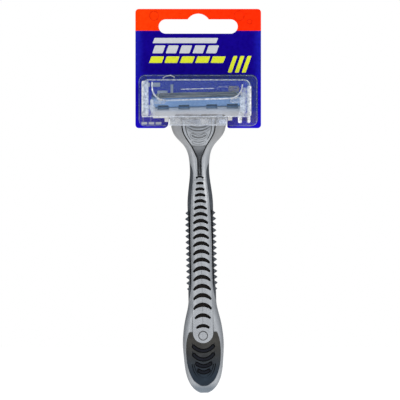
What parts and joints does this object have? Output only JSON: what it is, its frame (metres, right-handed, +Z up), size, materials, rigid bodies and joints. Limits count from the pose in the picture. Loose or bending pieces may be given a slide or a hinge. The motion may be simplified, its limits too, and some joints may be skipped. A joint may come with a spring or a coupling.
{
  "type": "cartridge razor",
  "caption": "Pivoting multi-blade razor with a ribbed two-tone handle, its head in a clear blister on a hang card with a hang slot.",
  "frame": {"origin": "middle of the hang slot, on the back face of the card", "axes": "+Z up the card, out of the razor's tail end upwards; the front of the card and the handle's front face -Y; +X to the right as seen from the front"},
  "size_m": [0.0572, 0.019, 0.1746],
  "materials": {
    "printed_card": "coated, satin, blue with an orange-red top band",
    "clear_film": "clear thermoformed film",
    "grey_plastic": "satin moulded grey",
    "dark_elastomer": "matte overmoulded elastomer",
    "tongue_plastic": "satin moulded grey",
    "head_plastic": "satin moulded blue-grey",
    "bridge_plastic": "satin moulded light grey",
    "cap_plastic": "satin dark grey",
    "strip_polymer": "matte, slightly waxy",
    "guard_elastomer": "matte",
    "clip_metal": "bright formed strip",
    "blade_steel": "honed edge",
    "support_steel": "formed strip"
  },
  "bodies": {
    "pack": {"hang_card": "printed_card", "blister_shell": "clear_film"},
    "handle": {"handle_core": "grey_plastic", "side_grip_right": "dark_elastomer", "side_grip_left": "dark_elastomer", "back_grip": "dark_elastomer", "tail_pad": "dark_elastomer", "tail_back_pad": "dark_elastomer"},
    "tongue": {"spring_tongue": "tongue_plastic"},
    "cartridge": {"cartridge_frame": "head_plastic", "bearing_bridge": "bridge_plastic", "cap_bar": "cap_plastic", "lubricating_strip": "strip_polymer", "guard_fins": "guard_elastomer", "clip_right": "clip_metal", "clip_left": "clip_metal"},
    "blade_unit_1": {"blade_1": "blade_steel", "blade_support_1": "support_steel"},
    "blade_unit_2": {"blade_2": "blade_steel", "blade_support_2": "support_steel"},
    "blade_unit_3": {"blade_3": "blade_steel", "blade_support_3": "support_steel"}
  },
  "joints": [
    {"name": "razor_release", "type": "slide", "parent": "pack", "child": "handle", "axis": [0.0218, 0, -0.9998], "range_m": [0, 0.05]},
    {"name": "head_pivot", "type": "hinge", "parent": "handle", "child": "cartridge", "pos_m": [0.00007, -0.006, -0.041], "axis": [0.9998, 0, 0.0218], "range_deg": [0, 40], "stiffness_Nm_per_rad": 0.015, "springref_deg": -11.46},
    {"name": "tongue_flex", "type": "hinge", "parent": "handle", "child": "tongue", "pos_m": [0.00065, -0.0049, -0.06759], "axis": [0.9998, 0, 0.0218], "range_deg": [-2.1, 0]},
    {"name": "blade_float_1", "type": "slide", "parent": "cartridge", "child": "blade_unit_1", "axis": [0.0109, -0.866, -0.4999], "range_m": [0, 0.0003], "stiffness_N_per_m": 300, "springref_m": -0.0002},
    {"name": "blade_float_2", "type": "slide", "parent": "cartridge", "child": "blade_unit_2", "axis": [0.0109, -0.866, -0.4999], "range_m": [0, 0.0003], "stiffness_N_per_m": 300, "springref_m": -0.0002},
    {"name": "blade_float_3", "type": "slide", "parent": "cartridge", "child": "blade_unit_3", "axis": [0.0109, -0.866, -0.4999], "range_m": [0, 0.0003], "stiffness_N_per_m": 300, "springref_m": -0.0002}
  ],
  "couplings": [
    {"joint": "tongue_flex", "follows": "head_pivot", "ratio": -0.05}
  ]
}
